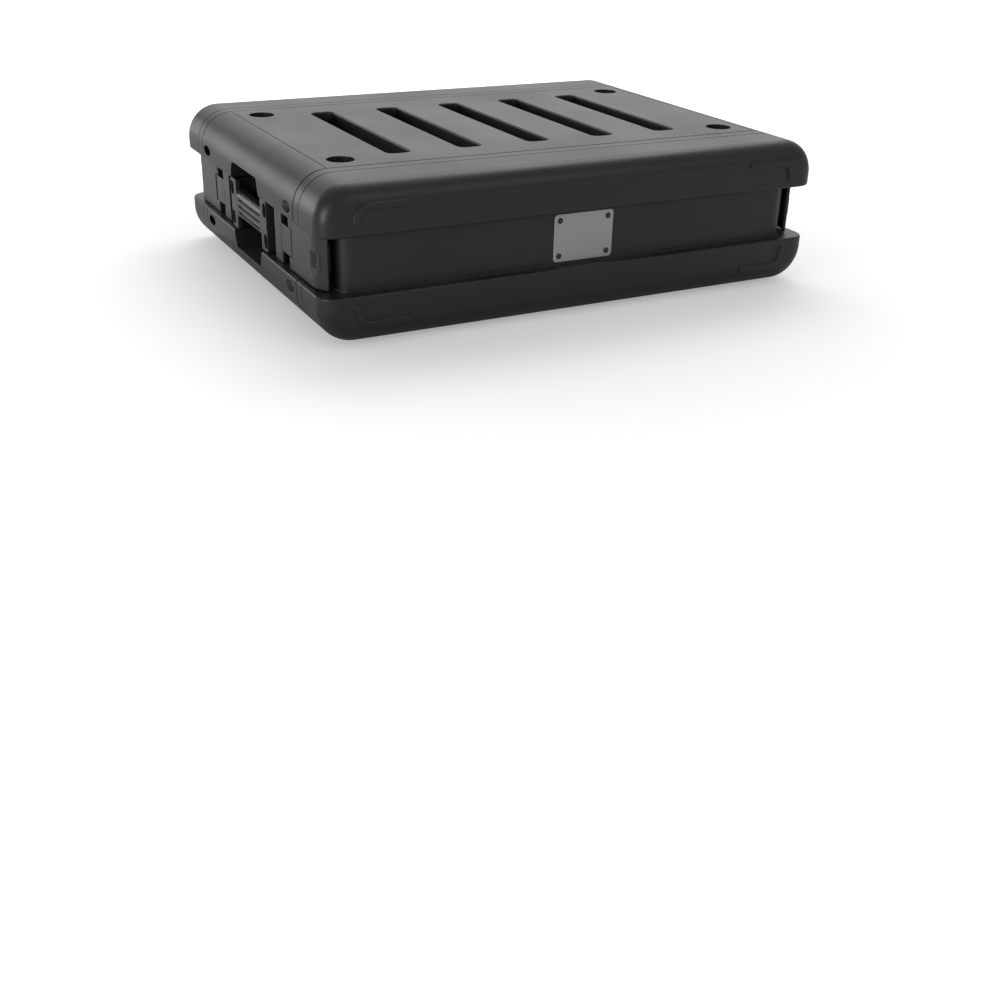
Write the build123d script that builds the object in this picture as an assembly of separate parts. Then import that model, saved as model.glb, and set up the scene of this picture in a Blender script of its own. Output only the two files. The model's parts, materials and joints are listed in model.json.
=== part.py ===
from build123d import *
import os

# 2U rack case: moulded shell, two removable lids, four draw latches, two side handles.
# Millimetres. X runs along the wide front, +Y points to the rear, +Z is up.
# The origin is on the ground at the middle of the case, under its rubber feet.

# Overall size
case_width = 572.0
case_height = 152.0
body_length = 298.0
wall = 4.0
foot_stand = 4.0
seam = 1.0

# Recessed belt round the middle of the case, between the upper and lower bumper bands
belt_height = 56.0
belt_depth = 24.0
belt_corner_radius = 2.0
band_flat = 12.0

# Body: side mouldings and rim frames
side_width = 36.0
ledge_reach = 8.0
ledge_overlap = 14.0
rim_length = 15.0
rim_face = 27.0
opening_margin = 13.0
opening_radius = 6.0
tongue_wall = 3.0
tongue_reach = 9.0
rim_ledge_reach = 11.0

# Long pockets and round stacking sockets of the panels
pocket_count = 5
pocket_pitch = 79.2
pocket_length = 224.0
pocket_width = 25.5
pocket_radius = 7.0
pocket_depth = 19.0
pocket_wall = 3.0
pocket_lip_radius = 2.0
socket_edge_x = 25.4
socket_edge_y = 30.4
socket_diameter = 28.0
socket_depth = 6.0
foot_clearance = 0.3
foot_chamfer = 1.2

# Handle well and handle in each side moulding
well_half_length = 46.0
well_end_draw = 6.0
well_rise = 18.0
well_corner_radius = 5.0
well_depth = 39.0
well_wall = 3.0
handle_inset = 3.0
handle_plate_lap = 6.0
handle_plate_thickness = 5.0
handle_plate_chamfer = 1.0
handle_foot_gap = 1.0
handle_foot_width = 11.0
handle_clearance = 1.5
grip_height = 28.0
grip_depth = 15.0
grip_radius = 6.0
grip_grooves = 3
grip_groove_pitch = 7.0
grip_groove_width = 3.0
grip_groove_depth = 3.0
handle_screw_z = 16.0
handle_screw_diameter = 5.0
handle_screw_head = 9.0
handle_screw_head_height = 3.0
handle_recess_width = 9.6
handle_recess_height = 15.0
handle_recess_depth = 12.0

# Scooped screw pockets that fix the side mouldings to the rims
case_screw_rise = 11.0
case_screw_inset = 9.0
case_screw_diameter = 4.0
case_screw_head = 7.0
case_screw_head_height = 2.6
case_screw_recess = 6.0
case_screw_head_clearance = 0.8
scoop_length = 24.0
scoop_width = 11.0
scoop_depth = 13.0
scoop_wall = 2.0
scoop_end_wall = 4.5
boss_diameter = 12.0

# Lids
lid_length = 55.0
lid_gap = 0.5
lid_edge_radius = 20.0
belt_front_inset = 12.5
belt_front_radius = 20.0
plinth_step = 2.5
plinth_height = 2.5
flange_thickness = 3.0
flange_clearance = 1.5
gasket_width = 6.0
gasket_thickness = 3.0
gasket_clearance = 0.3
rib_width = 6.5
rib_height = 1.4
rib_leg_inset = 36.0
rib_leg_rise = 11.0
rib_bar_length = 52.0
rib_bar_drop = 20.0
rib_leg_straight = 3.0

# Name plate on the front lid
plate_width = 69.0
plate_height = 49.0
plate_thickness = 1.2
plate_radius = 4.0
rivet_diameter = 4.0
rivet_head = 6.0
rivet_head_height = 1.0
rivet_inset = 6.5

# Draw latches
latch_inset = 6.0
latch_thickness = 4.0
latch_clearance = 1.0
latch_gap = 0.6
knuckle_diameter = 9.0
pin_diameter = 4.0
pin_clearance = 0.08
lever_pin_setback = 28.0
lever_tail = 5.0
lever_bend_setback = 29.0
lever_bend_radius = 26.0
lever_bend_angle = 50.0
link_length = 37.0
link_tail = 9.0
link_strip_reach = 12.0
link_pin_rise = 8.0
tab_height = 28.0
claw_reach = 21.5
claw_thickness = 4.0
claw_height = 26.0
claw_gap = 2.5
catch_thickness = 4.0
catch_height = 30.0
catch_reach = 6.5
catch_gap = 2.5
base_thickness = 3.0
base_half_length = 11.0
base_inset = 1.0
ear_thickness = 5.0
thumb_pad_past_bend = 4.0
thumb_pad_width = 15.0
thumb_pad_height = 30.0
thumb_pad_depth = 1.0
thumb_grooves = 3
thumb_groove_pitch = 3.6
thumb_groove_width = 1.8
thumb_groove_height = 16.0
thumb_groove_depth = 2.2

# Rack rails, 2U hole pattern
rack_unit = 44.45
rack_units = 2
rack_hole_from_wall = 25.4
rack_hole_diameter = 7.0
rack_hole_edge = 6.35
rack_hole_step = 15.875
rail_edge = 10.1
rail_thickness = 2.0
rail_leg = 38.0
rail_clearance = 1.0
rail_setback = 6.0
rail_screw_diameter = 6.0
rail_screw_head = 11.0
rail_screw_head_height = 3.2
rail_screw_z = 20.0
hole_clearance = 0.1

# How far a cutter runs past what it cuts, and a joined piece into what it joins
extra = 1.0

# Two edges closer than this are in the same place
same_place = 0.01

# Worked out from the sizes above
half_width = case_width / 2
half_height = case_height / 2
half_belt = belt_height / 2
half_body = body_length / 2
mid_z = foot_stand + half_height
edge_radius = half_height - half_belt - band_flat
belt_x = half_width - belt_depth
panel_x = half_width - side_width
body_end_y = half_body - seam / 2
rim_back_y = half_body + seam / 2
rim_front_y = half_body + rim_length
lid_back_y = rim_front_y + lid_gap
lid_front_y = lid_back_y + lid_length
belt_front_y = lid_front_y - belt_front_inset
opening_width = 2 * (belt_x - wall - opening_margin)
opening_height = case_height - 2 * rim_face
socket_x = panel_x - socket_edge_x
socket_y = half_body - socket_edge_y
screw_axis_x = half_width - case_screw_inset
case_screw_z = half_belt + case_screw_rise
scoop_end_y = body_end_y - scoop_end_wall
well_floor_x = half_width - well_depth
well_half_height = half_belt + well_rise
rib_leg_end = half_belt + rib_leg_rise
rib_bar_z = half_height - rib_bar_drop
rib_bend_radius = rib_bar_z - rib_leg_end - rib_leg_straight
handle_face_x = half_width - handle_inset
handle_plate_inner = well_half_length - handle_plate_lap
handle_foot_inner = well_half_length + handle_foot_gap
handle_half_length = handle_foot_inner + handle_foot_width
handle_screw_y = handle_foot_inner + handle_foot_width / 2
latch_face_x = half_width - latch_inset
latch_height = belt_height - 2 * latch_clearance
base_height = latch_height - 2 * base_inset
knuckle_radius = knuckle_diameter / 2
lever_pin_x = latch_face_x - knuckle_radius
lever_pin_y = half_body - lever_pin_setback
link_pin_x = belt_x + link_pin_rise
link_pin_y = lever_pin_y - link_length
lever_bend_y = belt_front_y - lever_bend_setback
claw_y = lid_back_y + claw_reach
thumb_pad_y = lever_bend_y + thumb_pad_past_bend
rail_wall_x = belt_x - wall
rail_face_y = half_body - rail_setback
rail_screw_y = rail_face_y - rail_leg / 2
rack_hole_x = rail_wall_x - rack_hole_from_wall


def along_y(profile, y_from, y_to):
    """Extrude a front-view profile (X across, Z up from mid height) between two Y places."""
    plane = Plane((0, y_from, mid_z), x_dir=(1, 0, 0), z_dir=(0, -1, 0))
    return extrude(plane * profile, amount=y_from - y_to, dir=(0, -1, 0))


def along_z(profile, z_from, z_to):
    """Extrude a plan profile (X, Y) between two heights measured from mid height."""
    return extrude(Pos(0, 0, mid_z + z_from) * profile, amount=z_to - z_from, dir=(0, 0, 1))


def along_x(profile, x_from, x_to):
    """Extrude a side-view profile (Y across, Z up from mid height) between two X places."""
    plane = Plane((x_from, 0, mid_z), x_dir=(0, 1, 0), z_dir=(1, 0, 0))
    return extrude(plane * profile, amount=x_to - x_from, dir=(1, 0, 0))


def block(x_span, y_span, z_span):
    """A box given by its spans, with Z measured from mid height."""
    size = [abs(b - a) for a, b in (x_span, y_span, z_span)]
    centre = [(a + b) / 2 for a, b in (x_span, y_span, z_span)]
    return Pos(centre[0], centre[1], mid_z + centre[2]) * Box(*size)


def rod(diameter, start, end):
    """A round bar between two points, with Z measured from mid height."""
    a = Vector(start[0], start[1], start[2] + mid_z)
    b = Vector(end[0], end[1], end[2] + mid_z)
    plane = Plane(origin=a, z_dir=b - a)
    return extrude(plane * Circle(diameter / 2), amount=(b - a).length)


def upright(diameter, x, y, z_span):
    """A round bar that stands upright at a plan place."""
    return rod(diameter, (x, y, z_span[0]), (x, y, z_span[1]))


def spread(count, pitch):
    """Places of a row of like features, centred on zero."""
    return [(i - (count - 1) / 2) * pitch for i in range(count)]


def case_outline(inset):
    """Front view of the body: rounded rectangle with the belt cut into both sides."""
    outline = RectangleRounded(case_width - 2 * inset, case_height - 2 * inset, edge_radius - inset)
    notch = Rectangle(2 * (belt_depth + inset), belt_height + 2 * inset)
    for side in (-1, 1):
        outline -= Pos(side * half_width, 0) * notch
    notch_corners = [v for v in outline.vertices() if abs(v.Y) < half_belt + inset + extra]
    return fillet(notch_corners, belt_corner_radius)


def ring(outer, inner, y_from, y_to):
    return along_y(outer, y_from, y_to) - along_y(inner, y_from, y_to)


def rack_opening():
    return RectangleRounded(opening_width, opening_height, opening_radius)


def tongue_outline(grow):
    reach = tongue_wall + grow
    return RectangleRounded(opening_width + 2 * reach, opening_height + 2 * reach, opening_radius + reach)


def panel():
    """Top panel: flat plate with long pockets moulded down and four round stacking sockets."""
    half_x = panel_x - seam / 2
    top = half_height
    body = block((-half_x, half_x), (-body_end_y, body_end_y), (top - wall, top))
    pocket = RectangleRounded(pocket_width, pocket_length, pocket_radius)
    cup = RectangleRounded(pocket_width + 2 * pocket_wall, pocket_length + 2 * pocket_wall,
                           pocket_radius + pocket_wall)
    places = spread(pocket_count, pocket_pitch)
    for x in places:
        body += Pos(x, 0, 0) * along_z(cup, top - pocket_depth - pocket_wall, top)
    for x, y in socket_places():
        cup_disc = Pos(x, y) * Circle(socket_diameter / 2 + pocket_wall)
        body += along_z(cup_disc, top - socket_depth - pocket_wall, top)
    for x in places:
        body -= Pos(x, 0, 0) * along_z(pocket, top - pocket_depth, top + extra)
    for x, y in socket_places():
        body -= along_z(Pos(x, y) * Circle(socket_diameter / 2), top - socket_depth, top + extra)
    top_edges = body.edges().filter_by(lambda e: abs(e.center().Z - mid_z - top) < same_place)
    return fillet([e for e in top_edges if on_pocket(e, places)], pocket_lip_radius)


def on_pocket(edge, places):
    """True for the top edges of the long pockets."""
    middle = edge.center()
    near = min(abs(middle.X - x) for x in places)
    return near < pocket_width / 2 + extra and abs(middle.Y) < pocket_length / 2 + extra


def socket_places():
    return [(sx * socket_x, sy * socket_y) for sx in (-1, 1) for sy in (-1, 1)]


def foot(x, y):
    """Rubber foot pressed into a socket of the bottom panel."""
    radius = socket_diameter / 2 - foot_clearance
    stud = Cylinder(radius, foot_stand + socket_depth, align=(Align.CENTER, Align.CENTER, Align.MIN))
    return Pos(x, y, 0) * chamfer(stud.edges().group_by(Axis.Z)[0], foot_chamfer)


def well_outline(grow):
    """Side view of the handle well: wide across the belt, drawn in at its top and bottom."""
    w = well_half_length + grow
    e = w - well_end_draw
    h = well_half_height + grow
    b = half_belt
    points = [(-e, h), (e, h), (w, b), (w, -b), (e, -h), (-e, -h), (-w, -b), (-w, b)]
    shape = Polygon(*points, align=None)
    end_corners = [v for v in shape.vertices() if abs(v.Y) > b + extra]
    return fillet(end_corners, well_corner_radius)


def side_moulding():
    """Left side: C-shaped wall with two bumper bands, the belt, the handle well and screw pockets."""
    cut_x = panel_x + seam / 2
    keep = block((-half_width - extra, -cut_x), (-body_end_y, body_end_y), (-half_height, half_height))
    body = ring(case_outline(0), case_outline(wall), body_end_y, -body_end_y) & keep
    for s in (-1, 1):
        ledge_z = (s * (half_height - 2 * wall), s * (half_height - wall))
        body += block((-cut_x - ledge_overlap, -cut_x + ledge_reach), (-body_end_y, body_end_y), ledge_z)
    filled = along_y(case_outline(wall / 2), body_end_y, -body_end_y)
    body += along_x(well_outline(well_wall), -half_width, -well_floor_x + wall) & filled
    body -= along_x(well_outline(0), -half_width - extra, -well_floor_x)
    for sy in (-1, 1):
        for sz in (-1, 1):
            body += scoop_block(sy, sz) & filled
            body -= screw_scoop(sy, sz)
            body -= case_screw_hole(sy, sz)
            for y, z, diameter in ((handle_screw_y, handle_screw_z, handle_screw_diameter),
                                   (rail_screw_y, rail_screw_z, rail_screw_diameter)):
                start = (-belt_x - extra, sy * y, sz * z)
                end = (-rail_wall_x + extra, sy * y, sz * z)
                body -= rod(diameter + 2 * hole_clearance, start, end)
    return body


def scoop_block(sy, sz):
    """Material round one screw pocket inside the band."""
    half = scoop_width / 2 + scoop_wall
    y_span = (sy * (scoop_end_y - scoop_length), sy * body_end_y)
    z_span = (sz * case_screw_z - half, sz * case_screw_z + half)
    return block((-half_width + extra, -half_width + scoop_depth + scoop_wall), y_span, z_span)


def screw_scoop(sy, sz):
    """Round groove that slants down to the screw, so that a driver reaches its head."""
    radius = scoop_width / 2
    z = sz * case_screw_z
    slope = scoop_depth / scoop_length
    start = (-half_width - radius, sy * (scoop_end_y - scoop_length), z)
    past = scoop_length + scoop_width
    end = (start[0] + slope * past, sy * (scoop_end_y + scoop_width), z)
    x_span = (-half_width - scoop_width, -half_width + scoop_depth + scoop_width)
    y_span = (sy * (scoop_end_y - 2 * scoop_length), sy * scoop_end_y)
    limit = block(x_span, y_span, (z - scoop_width, z + scoop_width))
    return rod(scoop_width, start, end) & limit


def case_screw_hole(sy, sz):
    """Round recess for the screw head in the floor of the groove, and the hole through its end wall."""
    x = -screw_axis_x
    z = sz * case_screw_z
    recess = case_screw_head + 2 * case_screw_head_clearance
    head_room = rod(recess, (x, sy * (scoop_end_y - case_screw_recess), z), (x, sy * scoop_end_y, z))
    hole = case_screw_diameter + 2 * hole_clearance
    return head_room + rod(hole, (x, sy * (scoop_end_y - extra), z), (x, sy * (body_end_y + extra), z))


def case_screw(sy, sz):
    """Pan-head screw through the end wall of a pocket into the rim boss."""
    x = -screw_axis_x
    z = sz * case_screw_z
    head = rod(case_screw_head, (x, sy * (scoop_end_y - case_screw_head_height), z), (x, sy * scoop_end_y, z))
    shank_end = rim_front_y - wall - extra
    return head + rod(case_screw_diameter, (x, sy * (scoop_end_y - extra), z), (x, sy * shank_end, z))


def rim():
    """Front rim frame: outer skin, face plate round the rack opening and sealing tongue."""
    opening = rack_opening()
    body = ring(case_outline(0), case_outline(wall), -rim_back_y, -rim_front_y)
    body += ring(case_outline(0), opening, -rim_front_y + wall, -rim_front_y)
    body += ring(tongue_outline(0), opening, -rim_back_y, -rim_front_y - tongue_reach)
    ledge_x = panel_x - seam / 2 - ledge_reach - extra
    for s in (-1, 1):
        z_span = (s * (half_height - 2 * wall), s * (half_height - wall))
        body += block((-ledge_x, ledge_x), (-half_body + rim_ledge_reach, -rim_back_y - extra), z_span)
        for side in (-1, 1):
            x = side * screw_axis_x
            z = s * case_screw_z
            body += rod(boss_diameter, (x, -rim_front_y + wall / 2, z), (x, -rim_back_y, z))
    for s in (-1, 1):
        for side in (-1, 1):
            x = side * screw_axis_x
            z = s * case_screw_z
            hole = case_screw_diameter + 2 * hole_clearance
            body -= rod(hole, (x, -rim_front_y + wall, z), (x, -rim_back_y + extra, z))
    return body


def gasket():
    """Rubber sealing ring round the tongue, on the face plate of the rim."""
    outer = tongue_outline(gasket_clearance + gasket_width)
    return ring(outer, tongue_outline(gasket_clearance), -rim_front_y, -rim_front_y - gasket_thickness)


def lid_body(inset):
    """Rounded lid block with soft front edges, drawn in by the given inset."""
    outline = RectangleRounded(case_width - 2 * inset, case_height - 2 * inset, edge_radius - inset)
    body = along_y(outline, -lid_back_y, -lid_front_y + inset)
    front = body.faces().sort_by(Axis.Y)[0]
    return fillet(front.edges(), lid_edge_radius - inset)


def belt_core(inset, z_from, z_to, back_y=lid_back_y):
    """The recessed middle of the lid in plan, with round vertical corners at the front."""
    x = belt_x - inset
    y = belt_front_y - inset
    shape = Pos(0, -y) * Rectangle(2 * x, y - back_y, align=(Align.CENTER, Align.MIN))
    front_corners = [v for v in shape.vertices() if v.Y < -y + extra]
    return along_z(fillet(front_corners, belt_front_radius - inset), z_from, z_to)


def belt_cutter(inset):
    """Everything outside the recessed middle, over the height of the belt."""
    high = half_belt + inset
    wide = half_width + extra
    around = block((-wide, wide), (-lid_front_y - extra, -lid_back_y + extra), (-high, high))
    return around - belt_core(inset, -high, high, lid_back_y - 2 * extra)


def lid_shell():
    """Outer lid form with rounded lips where the bands overhang the belt."""
    body = lid_body(0) - belt_cutter(0)
    lips = [e for e in body.edges() if on_band_lip(e)]
    return fillet(lips, belt_corner_radius)


def on_band_lip(edge):
    """True for the outer edges of the bands that face the belt."""
    middle = edge.center()
    level = abs(abs(middle.Z - mid_z) - half_belt) < same_place
    outside = abs(middle.X) > belt_x + belt_corner_radius or middle.Y < -belt_front_y - belt_corner_radius
    return level and outside and middle.Y < -lid_back_y - extra


def bumper_rib(side, up):
    """Raised L-shaped rub strip near one corner of the lid front."""
    x = side * (half_width - rib_leg_inset)
    z = up * rib_bar_z
    bar_end = (x - side * rib_bar_length, z)
    path = FilletPolyline((x, up * rib_leg_end), (x, z), bar_end, radius=rib_bend_radius)
    strip = trace(path, rib_width)
    for end in (path @ 0, path @ 1):
        strip += Pos(end.X, end.Y) * Circle(rib_width / 2)
    return along_y(strip, -lid_front_y + wall / 2, -lid_front_y - rib_height)


def lid():
    """Front lid: thin moulded cover with two bumper bands, corner rub strips and latch catches."""
    body = lid_shell() - (lid_body(wall) - belt_cutter(wall))
    plinth_top = -half_belt + plinth_height
    hollow = belt_core(wall / 2, -half_belt - extra, plinth_top + extra, lid_back_y - extra)
    body += belt_core(-plinth_step, -half_belt, plinth_top) - hollow
    land_y = rim_front_y + gasket_thickness + gasket_clearance
    land = ring(case_outline(wall / 2), tongue_outline(flange_clearance), -land_y, -land_y - flange_thickness)
    body += land
    catch_front = claw_y - claw_thickness / 2 - catch_gap
    for side in (-1, 1):
        x_span = (side * (belt_x - wall / 2), side * (belt_x + catch_reach))
        y_span = (-catch_front, -catch_front + catch_thickness)
        body += block(x_span, y_span, (-catch_height / 2, catch_height / 2))
        for up in (-1, 1):
            body += bumper_rib(side, up)
    return body


def name_plate():
    """Bare metal plate with round corners and four rivet holes."""
    shape = RectangleRounded(plate_width, plate_height, plate_radius)
    for x, z in rivet_places():
        shape -= Pos(x, z) * Circle(rivet_diameter / 2 + hole_clearance)
    return along_y(shape, -belt_front_y, -belt_front_y - plate_thickness)


def rivet_places():
    x = plate_width / 2 - rivet_inset
    z = plate_height / 2 - rivet_inset
    return [(sx * x, sz * z) for sx in (-1, 1) for sz in (-1, 1)]


def rivet(x, z):
    head_y = -belt_front_y - plate_thickness
    shank = rod(rivet_diameter, (x, -belt_front_y, z), (x, head_y, z))
    return shank + rod(rivet_head, (x, head_y, z), (x, head_y - rivet_head_height, z))


def latch_base():
    """Plate on the belt wall with two ears that carry the link pin."""
    half = base_height / 2
    y_span = (-link_pin_y - base_half_length, -link_pin_y + base_half_length)
    body = block((-belt_x - base_thickness, -belt_x), y_span, (-half, half))
    for s in (-1, 1):
        z_span = (s * (half - ear_thickness), s * half)
        ear_y = (-link_pin_y - knuckle_radius, -link_pin_y + knuckle_radius)
        body += block((-link_pin_x, -belt_x - base_thickness / 2), ear_y, z_span)
        body += upright(knuckle_diameter, -link_pin_x, -link_pin_y, z_span)
    return body - pin_hole(link_pin_x, link_pin_y)


def pin_hole(x, y):
    half = half_belt + extra
    return upright(pin_diameter + 2 * pin_clearance, -x, -y, (-half, half))


def latch_link():
    """T-shaped link: full-height strip at the body end and a narrow tab into the lever."""
    face = -latch_face_x
    back = face + latch_thickness
    half = latch_height / 2
    tab = tab_height / 2
    strip_end = -link_pin_y - link_strip_reach
    body = block((face, back), (strip_end, -link_pin_y + link_tail), (-half, half))
    body += block((face, back), (-lever_pin_y, strip_end), (-tab, tab))
    inner = base_height / 2 - ear_thickness - latch_gap
    knuckle_y = (-link_pin_y - knuckle_radius, -link_pin_y + knuckle_radius)
    body += block((back - extra, -link_pin_x), knuckle_y, (-inner, inner))
    body += upright(knuckle_diameter, -link_pin_x, -link_pin_y, (-inner, inner))
    body += upright(knuckle_diameter, -lever_pin_x, -lever_pin_y, (-tab, tab))
    return body - pin_hole(link_pin_x, link_pin_y) - pin_hole(lever_pin_x, lever_pin_y)


def lever_layer(depth, thickness):
    """Strip of the lever between two depths under its outer face, straight and then round the lid corner."""
    middle = depth + thickness / 2
    x = -latch_face_x + middle
    radius = lever_bend_radius - middle
    straight = Line((x, -lever_pin_y + lever_tail), (x, -lever_bend_y))
    bend = CenterArc((x + radius, -lever_bend_y), radius, 180, lever_bend_angle)
    half = latch_height / 2
    return along_z(trace(straight + bend, thickness), -half, half)


def thumb_recess():
    """Oval dish for the thumb on the lever's bend, with upright grooves in its floor."""
    x_span = (-latch_face_x - extra, -claw_tip_x())
    oval = Pos(-thumb_pad_y, 0) * SlotOverall(thumb_pad_height, thumb_pad_width, rotation=90)
    dish = along_x(oval, *x_span) & lever_layer(0, thumb_pad_depth)
    half = thumb_groove_height / 2
    for place in spread(thumb_grooves, thumb_groove_pitch):
        y = place - thumb_pad_y
        y_span = (y - thumb_groove_width / 2, y + thumb_groove_width / 2)
        dish += block(x_span, y_span, (-half, half)) & lever_layer(0, thumb_groove_depth)
    return dish


def claw_tip_x():
    return belt_x + claw_gap


def latch_lever():
    """Lever: long plate that wraps the lid corner, with knuckles, a claw and a thumb recess."""
    half = latch_height / 2
    body = lever_layer(0, latch_thickness)
    slot = tab_height / 2 + latch_gap
    slot_end_y = lever_pin_y + knuckle_radius + latch_gap
    slot_start_y = lever_pin_y - lever_tail - extra
    body -= block((-latch_face_x - extra, -belt_x), (-slot_end_y, -slot_start_y), (-slot, slot))
    for s in (-1, 1):
        body += upright(knuckle_diameter, -lever_pin_x, -lever_pin_y, (s * slot, s * half))
    y_span = (-claw_y - claw_thickness / 2, -claw_y + claw_thickness / 2)
    claw_root_x = -latch_face_x + latch_thickness - extra
    body += block((claw_root_x, -claw_tip_x()), y_span, (-claw_height / 2, claw_height / 2))
    return body - thumb_recess() - pin_hole(lever_pin_x, lever_pin_y)


def pin(x, y, half):
    return upright(pin_diameter, x, y, (-half, half))


def handle_end():
    """Front end of the handle: chamfered plate over the well's end, with its foot on the belt wall."""
    face = -handle_face_x
    half = half_belt - handle_clearance
    y_span = (-handle_half_length, -handle_plate_inner)
    plate = block((face, face + handle_plate_thickness), y_span, (-half, half))
    plate = chamfer(plate.faces().sort_by(Axis.X)[0].edges(), handle_plate_chamfer)
    foot_half = half_belt - belt_corner_radius - hole_clearance
    foot_y = (-handle_half_length, -handle_foot_inner)
    return plate + block((face + 2 * handle_plate_chamfer, -belt_x), foot_y, (-foot_half, foot_half))


def grip():
    """Grip bar with a rounded section and grooves along its outer face."""
    face = -handle_face_x
    bar = Pos(face + grip_depth / 2, 0) * RectangleRounded(grip_depth, grip_height, grip_radius)
    body = along_y(bar, handle_plate_inner + extra, -handle_plate_inner - extra)
    x_span = (face - extra, face + grip_groove_depth)
    for z in spread(grip_grooves, grip_groove_pitch):
        z_span = (z - grip_groove_width / 2, z + grip_groove_width / 2)
        body -= block(x_span, (-handle_plate_inner, handle_plate_inner), z_span)
    return body


def handle():
    """Moulded handle: two screwed end plates and a grooved grip bar between them."""
    end = handle_end()
    body = grip() + end + mirror(end, about=Plane.XZ)
    seat = -handle_face_x + handle_recess_depth
    for sy in (-1, 1):
        for sz in (-1, 1):
            y = sy * handle_screw_y
            z = sz * handle_screw_z
            recess = Pos(y, z) * SlotOverall(handle_recess_height, handle_recess_width, rotation=90)
            body -= along_x(recess, -handle_face_x - extra, seat)
            hole = handle_screw_diameter + 2 * hole_clearance
            body -= rod(hole, (seat - extra, y, z), (-belt_x + extra, y, z))
    return body


def handle_screw(sy, sz):
    y = sy * handle_screw_y
    z = sz * handle_screw_z
    seat = -handle_face_x + handle_recess_depth
    head = rod(handle_screw_head, (seat - handle_screw_head_height, y, z), (seat, y, z))
    return head + rod(handle_screw_diameter, (seat - extra, y, z), (-rail_wall_x + extra, y, z))


def rack_holes():
    """Heights of the rail holes from mid height: three in each rack unit."""
    low = -rack_units * rack_unit / 2
    steps = [rack_hole_edge + i * rack_hole_step for i in range(3)]
    return [low + u * rack_unit + s for u in range(rack_units) for s in steps]


def rack_rail():
    """Front left steel angle with the rack hole pattern, bolted to the belt wall."""
    half = rack_units * rack_unit / 2
    leg_half = half_belt + wall - belt_corner_radius - rail_clearance
    face = (-rail_face_y, -rail_face_y + rail_thickness)
    body = block((-rail_wall_x, -rack_hole_x + rail_edge), face, (-half, half))
    leg_x = (-rail_wall_x, -rail_wall_x + rail_thickness)
    body += block(leg_x, (-rail_face_y, -rail_face_y + rail_leg), (-leg_half, leg_half))
    for z in rack_holes():
        start = (-rack_hole_x, face[0] - extra, z)
        body -= rod(rack_hole_diameter, start, (-rack_hole_x, face[1] + extra, z))
    for z in (-rail_screw_z, rail_screw_z):
        body -= rod(rail_screw_diameter + 2 * hole_clearance, (leg_x[0] - extra, -rail_screw_y, z),
                    (leg_x[1] + extra, -rail_screw_y, z))
    return body


def rail_screw(s):
    z = s * rail_screw_z
    seat = -rail_wall_x + rail_thickness
    head = rod(rail_screw_head, (seat, -rail_screw_y, z), (seat + rail_screw_head_height, -rail_screw_y, z))
    return head + rod(rail_screw_diameter, (seat + extra, -rail_screw_y, z), (-belt_x, -rail_screw_y, z))


def to_right(shape):
    return mirror(shape, about=Plane.YZ)


def to_rear(shape):
    return mirror(shape, about=Plane.XZ)


def to_bottom(shape):
    return mirror(shape, about=Plane.XY.offset(mid_z))


def at_corners(shape):
    """The same piece at the four corners of the case."""
    right = to_right(shape)
    front = {"front_left": shape, "front_right": right}
    return front | {"rear_left": to_rear(shape), "rear_right": to_rear(right)}


def write(name, shapes):
    out = shapes[0] if len(shapes) == 1 else Compound(children=shapes)
    export_step(out, os.path.join("parts", name + ".step"))


def write_at_corners(name, shape):
    for place, piece in at_corners(shape).items():
        write(name + "_" + place, [piece])


def both_sides(shapes):
    return shapes + [to_right(s) for s in shapes]


os.makedirs("parts", exist_ok=True)

top = panel()
write("top_panel", [top])
write("bottom_panel", [to_bottom(top)])
write("rubber_feet", [foot(x, y) for x, y in socket_places()])

left_side = side_moulding()
write("side_moulding_left", [left_side])
write("side_moulding_right", [to_right(left_side)])
write("case_screws", both_sides([case_screw(sy, sz) for sy in (-1, 1) for sz in (-1, 1)]))

front_rim = rim()
write("rim_front", [front_rim])
write("rim_rear", [to_rear(front_rim)])
front_gasket = gasket()
write("gasket_front", [front_gasket])
write("gasket_rear", [to_rear(front_gasket)])

front_lid = lid()
write("front_lid", [front_lid])
write("rear_lid", [to_rear(front_lid)])
write("name_plate", [name_plate()])
write("name_plate_rivets", [rivet(x, z) for x, z in rivet_places()])

write_at_corners("latch_base", latch_base())
write_at_corners("latch_link", latch_link())
write_at_corners("latch_lever", latch_lever())
write_at_corners("link_pin", pin(-link_pin_x, -link_pin_y, base_height / 2))
write_at_corners("lever_pin", pin(-lever_pin_x, -lever_pin_y, latch_height / 2))

left_handle = handle()
write("handle_left", [left_handle])
write("handle_right", [to_right(left_handle)])
write("handle_screws", both_sides([handle_screw(sy, sz) for sy in (-1, 1) for sz in (-1, 1)]))

write_at_corners("rack_rail", rack_rail())
write("rail_screws", [piece for s in (-1, 1) for piece in at_corners(rail_screw(s)).values()])
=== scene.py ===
import bpy
import bmesh
import json
import math
import numpy as np
from mathutils import Matrix, Vector

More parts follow.
